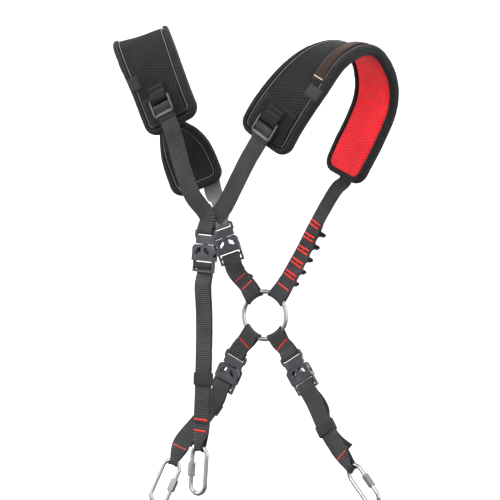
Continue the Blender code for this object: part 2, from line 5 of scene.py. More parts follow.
import bmesh
import bpy
import numpy as np
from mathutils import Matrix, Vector


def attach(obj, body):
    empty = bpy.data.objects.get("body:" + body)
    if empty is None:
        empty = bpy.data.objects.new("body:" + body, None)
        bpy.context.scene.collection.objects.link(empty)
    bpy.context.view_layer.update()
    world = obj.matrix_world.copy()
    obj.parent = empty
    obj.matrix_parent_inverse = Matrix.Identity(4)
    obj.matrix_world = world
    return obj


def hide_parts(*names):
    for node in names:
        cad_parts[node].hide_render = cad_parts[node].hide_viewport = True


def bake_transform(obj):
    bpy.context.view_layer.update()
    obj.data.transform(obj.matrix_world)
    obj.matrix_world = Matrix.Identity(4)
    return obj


MM = 0.001
WEB = 21.0
WEB_THICK = 1.6
PAD_NEAR_HALF, PAD_FAR_HALF, PAD_CORNER = 35.0, 33.0, 15.0
BINDING = 6.5
RING_R, RING_WIRE = 27.75, 2.75
LINK_R, LINK_WIRE, LINK_LENGTH, LINK_ROOM = 10.0, 2.5, 53.0, 1.2
SLEEVE_START, SLEEVE_LENGTH = 19.5, 15.0
BAR_R, GAP = 1.5, 0.4
LOCK_LEFT_AT, LOCK_RIGHT_AT, LOCK_HEIGHT, LOCK_BAR = 34.0, 28.0, 11.3, 9.5
BUCKLE_BAR = 40.0
# Middle of each layer where two lie together, and the surface a stitch lies on there.
LAYER, STITCHED = 1.1, 1.95
RING_TURN = RING_WIRE + 0.7 + WEB_THICK / 2
LINK_TURN = LINK_WIRE + LINK_ROOM + WEB_THICK / 2
BAR_TURN = BAR_R + GAP + WEB_THICK / 2
DAISY_BASE, DAISY_HALF, DAISY_END = 3.6, 8.5, 14
TACK_THREAD, SEAM_THREAD = 0.4, 0.28
CLOTH_LOW, CLOTH_HIGH, CLOTH_SWELL = 3.9, 5.2, 0.9
KEEPER_LENGTH = 14
# Corners of a window in a buckle's hood.
LEAF = [(1.7, 20.0), (5.6, 20.6), (9.0, 23.4), (10.2, 28.4), (6.4, 28.0), (2.4, 25.0)]

# Centre lines, one point per bend, and the way the outer face looks at each point.
LEFT_PAD = [(-43, -64, -79), (-54, -66, -53), (-66, -65, -26), (-82, -58, 1), (-103, -38, 23),
            (-118, -10, 23), (-120, 2, 7), (-114.6, 8, -14.7), (-107.9, 20, -42.1),
            (-100.6, 38, -76), (-89.8, 48, -110.4), (-75.8, 50, -145)]
LEFT_PAD_FACE = [(0, -1, 0), (0, -1, 0), (0, -1, 0.1), (0, -0.9, 0.4), (-0.2, -0.5, 0.9),
                 (-0.35, 0.5, 0.8), (-0.7, 0.7, 0.2), (-0.95, 0.3, 0), (-0.9, -0.4, 0),
                 (-0.45, -0.9, 0), (0.15, -1, 0), (0.3, -1, 0)]
RIGHT_PAD = [(64, -57, -100), (82, -60, -73), (110, -53, -35), (131, -34, -6), (144, 0, 6),
             (151, 32, -3), (152, 50, -28), (147, 57, -52), (134, 58, -81), (119, 57, -109),
             (107, 55, -134)]
RIGHT_PAD_FACE = [(0, -1, 0), (0, -1, 0.05), (0.05, -0.9, 0.4), (0, -0.6, 0.8), (0.15, -0.1, 1),
                  (0.45, 0.5, 0.7), (0.45, 0.85, 0.3), (0.39, 0.92, 0.05), (0.39, 0.92, 0),
                  (0.39, 0.92, 0), (0.42, 0.9, 0)]
LEFT_BACK = [(-40, -70, -94), (-33, -64, -128), (-21, -64, -156)]
RIGHT_BACK = [(48, -62, -118), (28, -54, -145), (13, -51, -168), (1, -52.8, -183)]
LEFT_FRONT = [(-63, 60.3, -149.5), (-53.7, 56, -161.4), (-47.7, 49, -174.6)]
LEFT_FRONT_FACE = [(-0.3, 1, 0), (-0.3, 1, 0), (-0.5, 0.9, 0), (-0.85, 0.5, 0), (-0.7, 0.7, 0)]
RIGHT_FRONT = [(101, 56, -146), (75, 54, -187), (57, 53, -222), (39, 53, -252)]
BACK_FACE = (-0.15, -1, 0)
SHOULDER_FACE = (-0.3, 0.95, 0)
BACK_TOP, BACK_BOTTOM = (-7, -57, -194), (-11, -57, -242)
SHOULDER_TOP, SHOULDER_BOTTOM = (-45.7, 44, -186.5), (-31, 49, -231.1)
BACK_LINE = [(-10, -57, -295), (-11, -57, -357), (-13, -57, -407), (-15, -57, -436)]
LEFT_LINE = [(-67, 46, -412), (-88, 30, -443), (-95, 22, -465)]
RIGHT_LINE = [(89, 48, -417), (108, 42, -441), (126, 38, -461)]
SHOULDER_RING_ANGLE, RIGHT_RING_ANGLE, LEFT_RING_ANGLE, RIGHT_LOWER_ANGLE = -33, 37, 219, 146
LEFT_TOP, LEFT_BOTTOM = (-27, 53, -338), (-50, 53, -384)
RIGHT_TOP, RIGHT_BOTTOM = (41, 53, -337), (67, 53, -379)
RING_CENTRE = (9.0, 53.0, -293.0)
# Where each keeper starts and how each tail lies, from the buckle's male bar.
KEEPER_AT = {"back": 160, "left": 64, "right": 90}
TAILS = {"left": [(60, 1.2), (72, 1.2), (88, 1.3), (98, 4), (108, 8.5), (118, 9.5), (126, 6)],
         "right": [(58, 1.6), (66, 6), (77, 6.5), (86, 1.5), (98, 1.2), (110, 1.4), (119, 5), (130, 13)]}

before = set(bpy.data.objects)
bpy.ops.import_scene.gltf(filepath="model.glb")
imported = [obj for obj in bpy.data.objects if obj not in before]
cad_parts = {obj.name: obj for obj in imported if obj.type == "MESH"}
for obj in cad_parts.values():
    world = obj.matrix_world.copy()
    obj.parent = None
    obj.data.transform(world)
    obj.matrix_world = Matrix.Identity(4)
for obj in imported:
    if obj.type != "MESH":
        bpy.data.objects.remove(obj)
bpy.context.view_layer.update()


# Curves and bands


def unit(vector):
    vector = np.asarray(vector, float)
    return vector / np.linalg.norm(vector, axis=-1, keepdims=True)


def mix(a, b, start, end, t):
    return a * (end - t) / (end - start) + b * (t - start) / (end - start)


def smooth_curve(points, spread=14):
    """Centripetal Catmull-Rom curve; columns after the first three follow the same pace."""
    points = np.array(points, float)
    points = np.vstack([2 * points[0] - points[1], points, 2 * points[-1] - points[-2]])
    steps = np.linalg.norm(np.diff(points[:, :3], axis=0), axis=1)
    knots = np.concatenate([[0], np.cumsum(steps ** 0.5)])
    result = []
    for i in range(1, len(points) - 2):
        p, k = points[i - 1:i + 3], knots[i - 1:i + 3]
        t = np.linspace(k[1], k[2], spread, endpoint=False)[:, None]
        a = [mix(p[j], p[j + 1], k[j], k[j + 1], t) for j in range(3)]
        b = [mix(a[j], a[j + 1], k[j], k[j + 2], t) for j in range(2)]
        result.append(mix(b[0], b[1], k[1], k[2], t))
    return np.vstack([*result, points[-2:-1]])


def column_interp(at, knots, table):
    return np.stack([np.interp(at, knots, table[:, i]) for i in range(table.shape[1])], -1)


class Band:
    """A strip along a smooth centre line: s runs along it, u across it and n out of its face."""

    def __init__(self, points, faces):
        rows = smooth_curve([(*point, *unit(face)) for point, face in zip(points, faces, strict=True)])
        self.points, self.face = rows[:, :3], rows[:, 3:]
        steps = np.linalg.norm(np.diff(self.points, axis=0), axis=1)
        self.s = np.concatenate([[0], np.cumsum(steps)])
        self.length = self.s[-1]
        self.along = unit(np.gradient(self.points, self.s, axis=0))

    def frames(self, s):
        """Points, across, along and outward directions at every s; past an end it runs on."""
        s = np.asarray(s, float)
        inside = np.clip(s, 0, self.length)
        point = column_interp(inside, self.s, self.points)
        along = unit(column_interp(inside, self.s, self.along))
        face = column_interp(inside, self.s, self.face)
        face = unit(face - along * np.sum(face * along, -1, keepdims=True))
        return point + along * (s - inside)[..., None], np.cross(along, face), along, face

    def nearest(self, point):
        """The s at which the centre line passes closest to a point."""
        return self.s[np.argmin(np.linalg.norm(self.points - np.array(point, float), axis=1))]

    def place(self, s, u=0.0, n=0.0):
        s, u, n = np.broadcast_arrays(np.asarray(s, float), u, n)
        point, across, _, face = self.frames(s)
        return point + across * u[..., None] + face * n[..., None]

    def fitting(self, s, n=0.0, turned=False):
        """The place of a fitting, as a function from its own x, y and z to the world."""
        point, across, along, face = self.frames(s)
        if turned:
            across, along = -across, -along
        origin = point + face * n

        def to_world(local):
            local = np.asarray(local, float)
            return origin + local[..., :1] * across + local[..., 1:2] * along + local[..., 2:] * face

        return to_world


# Materials


class Graph:
    """A material's nodes, with shorthand for arithmetic."""

    def __init__(self, name, colour, roughness, metallic=0.0, **sockets):
        self.material = bpy.data.materials.new(name)
        self.material.use_nodes = True
        self.tree = self.material.node_tree
        self.shader = self.tree.nodes["Principled BSDF"]
        self.shader.inputs["Base Color"].default_value = (*colour, 1)
        self.shader.inputs["Roughness"].default_value = roughness
        self.shader.inputs["Metallic"].default_value = metallic
        for key, value in sockets.items():
            self.shader.inputs[key.replace("_", " ")].default_value = value

    def node(self, kind, **values):
        made = self.tree.nodes.new(kind)
        for key, value in values.items():
            setattr(made, key, value)
        return made

    def link(self, source, target):
        self.tree.links.new(source, target)

    def feed(self, socket, value):
        if isinstance(value, (int, float, tuple)):
            socket.default_value = value
        else:
            self.link(value, socket)

    def math(self, operation, *values):
        made = self.node("ShaderNodeMath", operation=operation)
        for socket, value in zip(made.inputs, values):
            self.feed(socket, value)
        return made.outputs[0]

    def route(self):
        """The across and along coordinates, in millimetres, that a soft piece's mesh carries."""
        found = self.node("ShaderNodeAttribute", attribute_name="route")
        split = self.node("ShaderNodeSeparateXYZ")
        self.link(found.outputs["Vector"], split.inputs[0])
        return split.outputs[0], split.outputs[1]

    def noise(self, scale, detail=3.0, stretch=None):
        place = self.node("ShaderNodeTexCoord").outputs["Object"]
        if stretch:
            mapping = self.node("ShaderNodeMapping")
            self.link(place, mapping.inputs["Vector"])
            mapping.inputs["Scale"].default_value = stretch
            place = mapping.outputs[0]
        made = self.node("ShaderNodeTexNoise")
        self.link(place, made.inputs["Vector"])
        made.inputs["Scale"].default_value = scale
        made.inputs["Detail"].default_value = detail
        return made.outputs["Fac"]

    def ramp(self, value, low, high, start=0.0, end=1.0):
        made = self.node("ShaderNodeMapRange")
        self.feed(made.inputs["Value"], value)
        for key, number in (("From Min", low), ("From Max", high), ("To Min", start), ("To Max", end)):
            made.inputs[key].default_value = number
        return made.outputs[0]

    def colours(self, value, first, second):
        made = self.node("ShaderNodeMix", data_type="RGBA")
        self.feed(made.inputs["Factor"], value)
        made.inputs[6].default_value = (*first, 1)
        made.inputs[7].default_value = (*second, 1)
        return made.outputs[2]

    def shade(self, colour, value):
        """Multiplies a colour by a grey value."""
        made = self.node("ShaderNodeVectorMath", operation="SCALE")
        self.link(colour, made.inputs[0])
        self.feed(made.inputs["Scale"], value)
        return made.outputs[0]

    def finish(self, colour, height, depth, roughness=None):
        self.link(colour, self.shader.inputs["Base Color"])
        if roughness is not None:
            self.link(roughness, self.shader.inputs["Roughness"])
        bump = self.node("ShaderNodeBump")
        bump.inputs["Distance"].default_value = depth * MM
        bump.inputs["Strength"].default_value = 0.9
        self.link(height, bump.inputs["Height"])
        self.link(bump.outputs[0], self.shader.inputs["Normal"])
        return self.material


def woven(name, dark, light, rib=1.5, pick=1.15, depth=0.35, sheen=0.06, stagger=1):
    """Webbing: ribs along the strap with picks that alternate from rib to rib."""
    g = Graph(name, light, 0.75, Sheen_Weight=sheen, Sheen_Roughness=0.45, Specular_IOR_Level=0.12)
    u, s = g.route()
    column = g.math("FLOOR", g.math("MULTIPLY", u, 2 / rib))
    rise = g.ramp(g.math("ABSOLUTE", g.math("SINE", g.math("MULTIPLY", u, math.tau / rib))), 0, 1, 0.5, 1)
    offset = g.math("MULTIPLY", column, math.pi * stagger)
    turn = g.math("ADD", g.math("MULTIPLY", s, math.tau / pick), offset)
    pick_rise = g.ramp(g.math("SINE", turn), -1, 1, 0.2, 1)
    height = g.math("MULTIPLY", rise, pick_rise)
    wear = g.ramp(g.noise(35), 0.35, 0.7, 0.82, 1.2)
    tint = g.shade(g.colours(height, dark, light), wear)
    return g.finish(tint, height, depth, g.ramp(height, 0, 1, 0.9, 0.68))


def air_mesh(name, thread, hole, pitch=3.1, depth=0.6, sheen=0.03, cut=(0.55, 1.5)):
    """Spacer mesh: staggered round holes between soft threads."""
    g = Graph(name, thread, 0.85, Sheen_Weight=sheen, Sheen_Roughness=0.5, Specular_IOR_Level=0.08)
    u, s = g.route()
    waves = []
    for across, along in ((1, 0), (0.5, 0.866), (0.5, -0.866)):
        place = g.math("ADD", g.math("MULTIPLY", u, across), g.math("MULTIPLY", s, along))
        waves.append(g.math("COSINE", g.math("MULTIPLY", place, math.tau / pitch)))
    total = g.math("ADD", waves[0], g.math("ADD", waves[1], waves[2]))
    opening = g.ramp(total, *cut)
    fine = g.math("SINE", g.math("MULTIPLY", g.math("ADD", u, s), math.tau / 0.8))
    height = g.math("ADD", g.math("SUBTRACT", 1.0, opening), g.math("MULTIPLY", fine, 0.08))
    tint = g.shade(g.colours(opening, thread, hole), g.ramp(g.noise(22), 0.3, 0.7, 0.8, 1.2))
    return g.finish(tint, height, depth, g.ramp(opening, 0, 1, 0.8, 0.95))


def thread_material(name, colour, sheen=0.3):
    g = Graph(name, colour, 0.6, Sheen_Weight=sheen)
    twist = g.noise(900, 2.0)
    fade = g.ramp(g.noise(60), 0.3, 0.7, 0.85, 1.15)
    tint = g.shade(g.colours(twist, tuple(c * 0.75 for c in colour), colour), fade)
    return g.finish(tint, twist, 0.15)


def moulded_material(name, colour, roughness=0.42):
    """Moulded nylon: fine spark texture, and a paler, smoother scuff where it rubs."""
    g = Graph(name, colour, roughness, Specular_IOR_Level=0.45)
    grain, scuff = g.noise(1400, 2.0), g.noise(45, 4.0)
    rub = g.ramp(scuff, 0.55, 0.75)
    worn = tuple(c * 1.5 + 0.01 for c in colour)
    tint = g.shade(g.colours(rub, colour, worn), g.ramp(grain, 0.3, 0.7, 0.9, 1.1))
    return g.finish(tint, grain, 0.06, g.ramp(scuff, 0.3, 0.75, roughness + 0.1, roughness - 0.08))


def steel_material(name, colour=(0.36, 0.36, 0.37), roughness=0.22, stretch=(1, 1, 6)):
    g = Graph(name, colour, roughness, 1.0)
    brush, cloud = g.noise(420, 3.0, stretch), g.noise(30, 3.0)
    dull = tuple(c * 0.82 for c in colour)
    tint = g.shade(g.colours(cloud, dull, colour), g.ramp(brush, 0.3, 0.7, 0.94, 1.05))
    return g.finish(tint, brush, 0.03, g.ramp(brush, 0.3, 0.7, roughness - 0.05, roughness + 0.12))


def plain_white(name, colour):
    """A matt white that also glows a little."""
    g = Graph(name, colour, 0.9, Emission_Color=(1, 1, 1, 1), Emission_Strength=0.3)
    return g.finish(g.colours(g.noise(3), colour, tuple(c * 0.99 for c in colour)), g.noise(40), 0.05)


LOOKS = {
    "webbing": woven("webbing_weave", (0.009, 0.009, 0.010), (0.075, 0.075, 0.077), 2.1, 2.3, stagger=0),
    "grey_webbing": woven("grey_weave", (0.045, 0.046, 0.047), (0.24, 0.245, 0.25), 2.1, 2.3, sheen=0.15,
                         stagger=0),
    "binding": woven("binding_weave", (0.006, 0.006, 0.007), (0.026, 0.026, 0.027), 0.9, 0.8, 0.2),
    "patch": woven("patch_weave", (0.005, 0.005, 0.006), (0.020, 0.020, 0.021), 1.1, 1.1, 0.25),
    "elastic": woven("elastic_weave", (0.010, 0.010, 0.011), (0.055, 0.055, 0.057), 1.0, 2.2, 0.3),
    "mesh": air_mesh("black_air_mesh", (0.020, 0.020, 0.021), (0.002, 0.002, 0.002)),
    "lining": air_mesh("red_air_mesh", (0.95, 0.022, 0.035), (0.55, 0.006, 0.012), 3.4, 0.6, 0.2),
    "brown": woven("brown_tape", (0.020, 0.011, 0.008), (0.050, 0.028, 0.020), 0.7, 0.7, 0.1, 0.1),
    "red_thread": thread_material("red_thread", (0.85, 0.03, 0.02), 0.1),
    "black_thread": thread_material("black_thread", (0.022, 0.022, 0.023), 0.05),
    "grey_thread": thread_material("grey_thread", (0.14, 0.14, 0.145)),
    "white_thread": thread_material("white_thread", (0.75, 0.74, 0.72)),
    "plastic": moulded_material("moulded_nylon", (0.028, 0.031, 0.037)),
    # The lock lip's paler grey is a painted highlight along the black lock's edges, not a paler plastic.
    "pale_plastic": moulded_material("nylon_lip_painted_highlight", (0.16, 0.165, 0.17), 0.36),
    "steel": steel_material("polished_steel"),
    "nut_steel": steel_material("turned_steel", (0.30, 0.30, 0.305), 0.28, (6, 6, 1)),
}


# Meshes


def add(name, data):
    """Puts a mesh, lamp or camera in the scene as an object."""
    made = bpy.data.objects.new(name, data)
    bpy.context.scene.collection.objects.link(made)
    return made


def put(name, points, faces, look, body, slot, nodes=(), route=None, smooth=True):
    """One finished piece: its mesh, material, body and the CAD nodes it stands for. The slot argument is not
    used.
    """
    mesh = bpy.data.meshes.new(name)
    points = np.asarray(points, float).reshape(-1, 3) * MM
    mesh.from_pydata(points.tolist(), [], faces)
    if route is not None:
        layer = mesh.attributes.new("route", "FLOAT_VECTOR", "POINT")
        layer.data.foreach_set("vector", np.asarray(route, float).reshape(-1))
    mesh.materials.append(LOOKS[look])
    for polygon in mesh.polygons:
        polygon.use_smooth = smooth
    shape = bmesh.new()
    shape.from_mesh(mesh)
    bmesh.ops.recalc_face_normals(shape, faces=shape.faces)
    shape.to_mesh(mesh)
    shape.free()
    piece = add(name, mesh)
    if body:
        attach(piece, body)
    if nodes:
        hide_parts(*nodes)
    return piece


def loft_faces(rows, count, closed=False):
    faces = []
    for i in range(rows if closed else rows - 1):
        this, after = i * count, (i + 1) % rows * count
        for j in range(count):
            k = (j + 1) % count
            faces.append((this + j, after + j, after + k, this + k))
    if not closed:
        faces += [tuple(range(count - 1, -1, -1)), tuple(range((rows - 1) * count, rows * count))]
    return faces


def resample(line, step):
    """A polyline of (s, n, ...) rows with even steps."""
    lengths = np.concatenate([[0], np.cumsum(np.linalg.norm(np.diff(line[:, :2], axis=0), axis=1))])
    at = np.linspace(0, lengths[-1], max(2, round(lengths[-1] / step)) + 1)
    return column_interp(at, lengths, line), at


def web_profile():
    """Across fraction, edge inset and lift round a strip with rolled edges."""
    top = [(i / 4, 0.9 if abs(i) == 4 else 0.0) for i in range(-4, 5)]
    ring = [(across, inset, 1.0) for across, inset in top]
    ring += [(1.0, 0.25, 0.75), (1.0, 0.0, 0.0), (1.0, 0.25, -0.75)]
    ring += [(across, inset, -1.0) for across, inset in reversed(top)]
    return ring + [(-1.0, 0.25, -0.75), (-1.0, 0.0, 0.0), (-1.0, 0.25, 0.75)]


def ribbon(name, band, path, body="harness", nodes=(), look="webbing", slot="webbing", bend=RING_R,
           step=1.8):
    """Webbing along a route of (s, n, half width, crease, shift), with rolled edges."""
    rows = [(*point, *(WEB / 2, 0.0, 0.0)[len(point) - 2:]) for point in path]
    line, at = resample(smooth_curve(rows, 8), step)
    aim = np.gradient(line[:, :2], axis=0)
    aim /= np.linalg.norm(aim, axis=1)[:, None]
    ring = np.array(web_profile())
    s, n, half, crease, shift = (line[:, i][:, None] for i in range(5))
    ds, dn = aim[:, 0][:, None], aim[:, 1][:, None]
    u = ring[:, 0] * half - np.sign(ring[:, 0]) * ring[:, 1] * 0.6
    lift = ring[:, 2] * WEB_THICK / 2
    reach = np.minimum(np.abs(u), 0.95 * bend)
    bow = crease * (bend - np.sqrt(bend * bend - reach * reach))
    ripple = 0.10 * np.sin(at[:, None] * 0.31 + u * 0.2) * np.sin(at[:, None] * 0.113 + 1.3)
    points = band.place(s + bow - dn * lift, u + shift, n + ds * lift + ripple)
    route = np.stack(np.broadcast_arrays(u, at[:, None], ring[:, 2]), -1)
    faces = loft_faces(len(line), len(ring))
    return put(name, points, faces, look, body, slot, nodes, route)


def tube(points, normals, radius, sides=10, closed=False):
    """Points and faces of a round bead along a line, with a normal at each point."""
    points, normals = np.asarray(points, float), unit(normals)
    if closed:
        aim = unit(np.roll(points, -1, 0) - np.roll(points, 1, 0))
    else:
        aim = unit(np.gradient(points, axis=0))
    side = unit(np.cross(aim, normals))
    up = np.cross(side, aim)
    turns = np.arange(sides) * math.tau / sides
    radius = np.broadcast_to(np.asarray(radius, float), (len(points),))[:, None, None]
    ring = side[:, None] * np.cos(turns)[None, :, None] + up[:, None] * np.sin(turns)[None, :, None]
    return (points[:, None] + radius * ring).reshape(-1, 3), loft_faces(len(points), sides, closed)


def gather(parts):
    """Joins (points, faces) pairs into one list of each."""
    points, faces, base = [], [], 0
    for some, their in parts:
        points.append(some)
        faces += [tuple(i + base for i in face) for face in their]
        base += len(some)
    return np.vstack(points), faces


def threads(name, strands, radius, look, body, slot, sides=6):
    """Sewing threads: each strand runs from one point to another over the face, ends sunk in."""
    parts = []
    for a, b, normal in strands:
        a, b, normal = np.asarray(a), np.asarray(b), np.asarray(normal)
        at = np.array([0, 0.12, 0.5, 0.88, 1])[:, None]
        rise = np.array([-1.6, 0.1, 0.45, 0.1, -1.6])[:, None] * radius
        line = a + (b - a) * at + normal * rise
        parts.append(tube(line, np.repeat(normal[None], 5, 0), radius, sides))
    return put(name, *gather(parts), look, body, slot)


def tack_strands(band, s, n, half, length=2.2):
    """A bar tack across a strap at s: short slanted stitches side by side."""
    count = round(2 * half / 0.85)
    u = (np.arange(count) + 0.5) / count * 2 * half - half
    side = 1 if n > 0 else -1
    a, b = band.place(s - length / 2, u, n), band.place(s + length / 2, u + 0.4, n)
    normal = band.frames(np.full(count, float(s)))[3] * side
    return list(zip(a, b, normal))


def double_tack(band, s, half):
    """The same bar tack on both faces of a doubled strap."""
    return tack_strands(band, s, STITCHED, half) + tack_strands(band, s, -STITCHED, half)


def red_threads(name, strands, body):
    threads(name, strands, TACK_THREAD, "red_thread", body, "webbing")


def line_strands(band, s_from, s_to, u_from, u_to, n, pitch=2.6, dash=1.9):
    """A row of running stitches from one place on a band to another."""
    span = math.hypot(s_to - s_from, u_to - u_from)
    count = max(1, round(span / pitch))
    at = (np.arange(count) + 0.5) / count
    half = 0.5 * dash / span
    s, u = (lambda t: s_from + (s_to - s_from) * t), (lambda t: u_from + (u_to - u_from) * t)
    side = 1 if n > 0 else -1
    normal = band.frames(s(at))[3] * side
    a, b = (band.place(s(t), u(t), n) for t in (at - half, at + half))
    return list(zip(a, b, normal))


# Pads


def pad_half(s, length):
    return PAD_NEAR_HALF + (PAD_FAR_HALF - PAD_NEAR_HALF) * s / length


def pad_outline(length, inset, step=4.0):
    """(s, half width) stations of a pad drawn in by the inset, with round corners."""
    radius = PAD_CORNER - inset
    turns = np.radians(np.arange(0, 90, 11.25))
    near = [(PAD_CORNER - radius * math.cos(a), radius * math.sin(a) - PAD_CORNER) for a in turns]
    middle = np.linspace(PAD_CORNER, length - PAD_CORNER, round((length - 2 * PAD_CORNER) / step) + 1)
    rows = [(s, pad_half(s, length) + extra) for s, extra in near]
    rows += [(s, pad_half(s, length) - inset) for s in middle]
    rows += [(length - s, pad_half(length - s, length) + extra) for s, extra in reversed(near)]
    return np.array(rows)


def pad_grid(band, rows, columns, rise):
    """Points of one face of a pad, with the height rise(fraction across, fraction along)."""
    s, across, half = np.broadcast_arrays(rows[:, :1], np.linspace(-1, 1, columns), rows[:, 1:])
    u = half * across
    n = rise(across, (s - rows[0, 0]) / (rows[-1, 0] - rows[0, 0]))
    return band.place(s, u, n), np.stack([u, s, n], -1)


def crown(across, along):
    """A padded height that climbs quickly from the edge and stays nearly level."""
    edge = np.minimum(1 - np.abs(across), 6 * np.minimum(along, 1 - along))
    return CLOTH_LOW + (CLOTH_HIGH - CLOTH_LOW) * (1 - np.exp(-edge / 0.16))


def inflate(piece, pinned, cap):
    """Swells foam under its cloth: a short pressure simulation with the sewn edge held."""
    group = piece.vertex_groups.new(name="sewn")
    group.add([int(i) for i in pinned], 1.0, "REPLACE")
    rest = np.array([v.co for v in piece.data.vertices])
    cloth = piece.modifiers.new("Cloth", "CLOTH")
    settings = cloth.settings
    settings.quality = 5
    settings.mass = 0.3
    settings.use_pressure = True
    settings.uniform_pressure_force = 4.0
    settings.tension_stiffness = settings.compression_stiffness = 18
    settings.shear_stiffness = 8
    settings.bending_stiffness = 1.5
    settings.effector_weights.gravity = 0
    settings.vertex_group_mass = "sewn"
    cloth.point_cache.frame_start, cloth.point_cache.frame_end = 1, 20
    for step in range(1, 21):
        bpy.context.scene.frame_set(step)
    shaped = piece.evaluated_get(bpy.context.evaluated_depsgraph_get())
    moved = np.array([v.co for v in shaped.data.vertices]) - rest
    far = np.maximum(np.linalg.norm(moved, axis=1, keepdims=True), 1e-9)
    result = rest + moved * np.minimum(1, cap * MM / far)
    piece.modifiers.remove(cloth)
    bpy.context.scene.frame_set(1)
    return result / MM


def pad_faces(side, band):
    """The two cloth faces of a pad over its foam, shaped by a simulation, as two closed shells."""
    rows = pad_outline(band.length, BINDING + 0.3)
    columns = 19
    outer, outer_route = pad_grid(band, rows, columns, crown)
    inner, inner_route = pad_grid(band, rows, columns, lambda *at: -crown(*at))
    count = len(rows)
    index = np.arange(count * columns).reshape(count, columns)
    rim = np.concatenate([index[0], index[1:-1, -1], index[-1, ::-1], index[-2:0:-1, 0]])
    quads = [(index[i, j], index[i, j + 1], index[i + 1, j + 1], index[i + 1, j])
             for i in range(count - 1) for j in range(columns - 1)]
    below = count * columns
    skirt = [(rim[i], rim[(i + 1) % len(rim)], rim[(i + 1) % len(rim)] + below, rim[i] + below)
             for i in range(len(rim))]
    faces = quads + [tuple(i + below for i in reversed(quad)) for quad in quads] + skirt
    faces = [tuple(int(i) for i in face) for face in faces]
    mesh = bpy.data.meshes.new("foam")
    both = np.concatenate([outer.reshape(-1, 3), inner.reshape(-1, 3)]) * MM
    mesh.from_pydata(both.tolist(), [], faces)
    foam = add("foam", mesh)
    shaped = inflate(foam, np.concatenate([rim, rim + below]), CLOTH_SWELL)
    bpy.data.objects.remove(foam)
    outer, inner = shaped[:below].reshape(outer.shape), shaped[below:].reshape(inner.shape)
    for kind, sign, top, route, look, slot in (
            ("cover", 1, outer, outer_route, "mesh", "pad_mesh"),
            ("lining", -1, inner, inner_route, "lining", "red_lining")):
        nodes = [f"{side}_pad_{kind}"] + ([f"{side}_pad_foam"] if kind == "cover" else [])
        middle, _ = pad_grid(band, rows, columns, lambda across, _: np.full(across.shape, 0.15 * sign))
        points = np.concatenate([top.reshape(-1, 3), middle.reshape(-1, 3)])
        piece = put(f"{side}_{kind}_cloth", points, faces, look, "harness", slot, nodes,
                    np.concatenate([route.reshape(-1, 3)] * 2))
        smooth = piece.modifiers.new("smooth", "SUBSURF")
        smooth.levels = smooth.render_levels = 1


# The bound edge's section: fraction of the way out, and height.
BINDING_PROFILE = [(-0.02, 3.2), (0.0, 4.6), (0.05, 5.4), (0.22, 5.85), (0.45, 5.8), (0.68, 5.3), (0.86, 4.2),
                   (0.96, 2.6), (1.0, 0.9)]


def rim_walk(outline_rows):
    """Both sides of an outline as one closed walk of (s, u)."""
    right = [(s, half) for s, half in outline_rows]
    left = [(s, -half) for s, half in reversed(outline_rows)]
    return np.array(right + left)


def pad_edge(side, band):
    """The bound edge, its stitching, and the piping that lines the black face."""
    outer, inner, seam, bead = (rim_walk(pad_outline(band.length, inset))
                                for inset in (0, BINDING, BINDING - 1.2, BINDING + 2.0))
    walked = np.concatenate([[0], np.cumsum(np.linalg.norm(np.diff(outer, axis=0), axis=1))])
    profile = BINDING_PROFILE + [(w, -n) for w, n in reversed(BINDING_PROFILE)]
    pucker = 1 + 0.02 * np.sin(walked * 1.05) + 0.012 * np.sin(walked * 0.37 + 2)
    points, route = [], []
    for w, n in profile:
        at = inner + (outer - inner) * w
        points.append(band.place(at[:, 0], at[:, 1], n * pucker))
        route.append(np.stack([np.full(len(at), w * 9 + n), walked, np.zeros(len(at))], -1))
    points, route = np.stack(points, 1), np.stack(route, 1)
    put(f"{side}_edge_binding", points, loft_faces(len(outer), len(profile), True), "binding", "harness",
        "binding", [f"{side}_pad_binding"], route)
    strands = []
    line, _ = resample(seam, 2.9)
    for face in (1, -1):
        normal = band.frames(line[:, 0])[3] * face
        spots = band.place(line[:, 0], line[:, 1], 5.95 * face)
        strands += [(a + (b - a) * 0.15, a + (b - a) * 0.85, normal[i])
                    for i, (a, b) in enumerate(zip(spots[:-1], spots[1:]))]
    threads(f"{side}_edge_stitches", strands, 0.26, "black_thread", "harness", "binding", 5)
    normal = band.frames(bead[:, 0])[3]
    put(f"{side}_piping", *tube(band.place(bead[:, 0], bead[:, 1], 5.1), normal, 0.42, 8, True),
        "grey_thread", "harness", "binding")


def strip_on_pad(name, band, stations, low, high, look, slot, nodes):
    """A sewn layer with rounded edges on a pad; a station is (s, u low, u high)."""
    line, _ = resample(np.array(stations, float), 2.0)
    columns = 9
    rings, routes = [], []
    for i, (s, left, right) in enumerate(line):
        end = min(i, len(line) - 1 - i)
        height = low + (high - low) * min(1, 0.45 + 0.4 * end)
        across = np.linspace(left, right, columns)
        top = np.full(columns, height)
        top[[0, -1]] = low + (height - low) * 0.5
        u = np.concatenate([across, across[::-1]])
        n = np.concatenate([top, np.full(columns, low)])
        rings.append(band.place(s, u, n))
        routes.append(np.stack([u, np.full(u.shape, s), n], -1))
    return put(name, np.array(rings), loft_faces(len(line), 2 * columns), look, "harness", slot, nodes,
               np.array(routes))


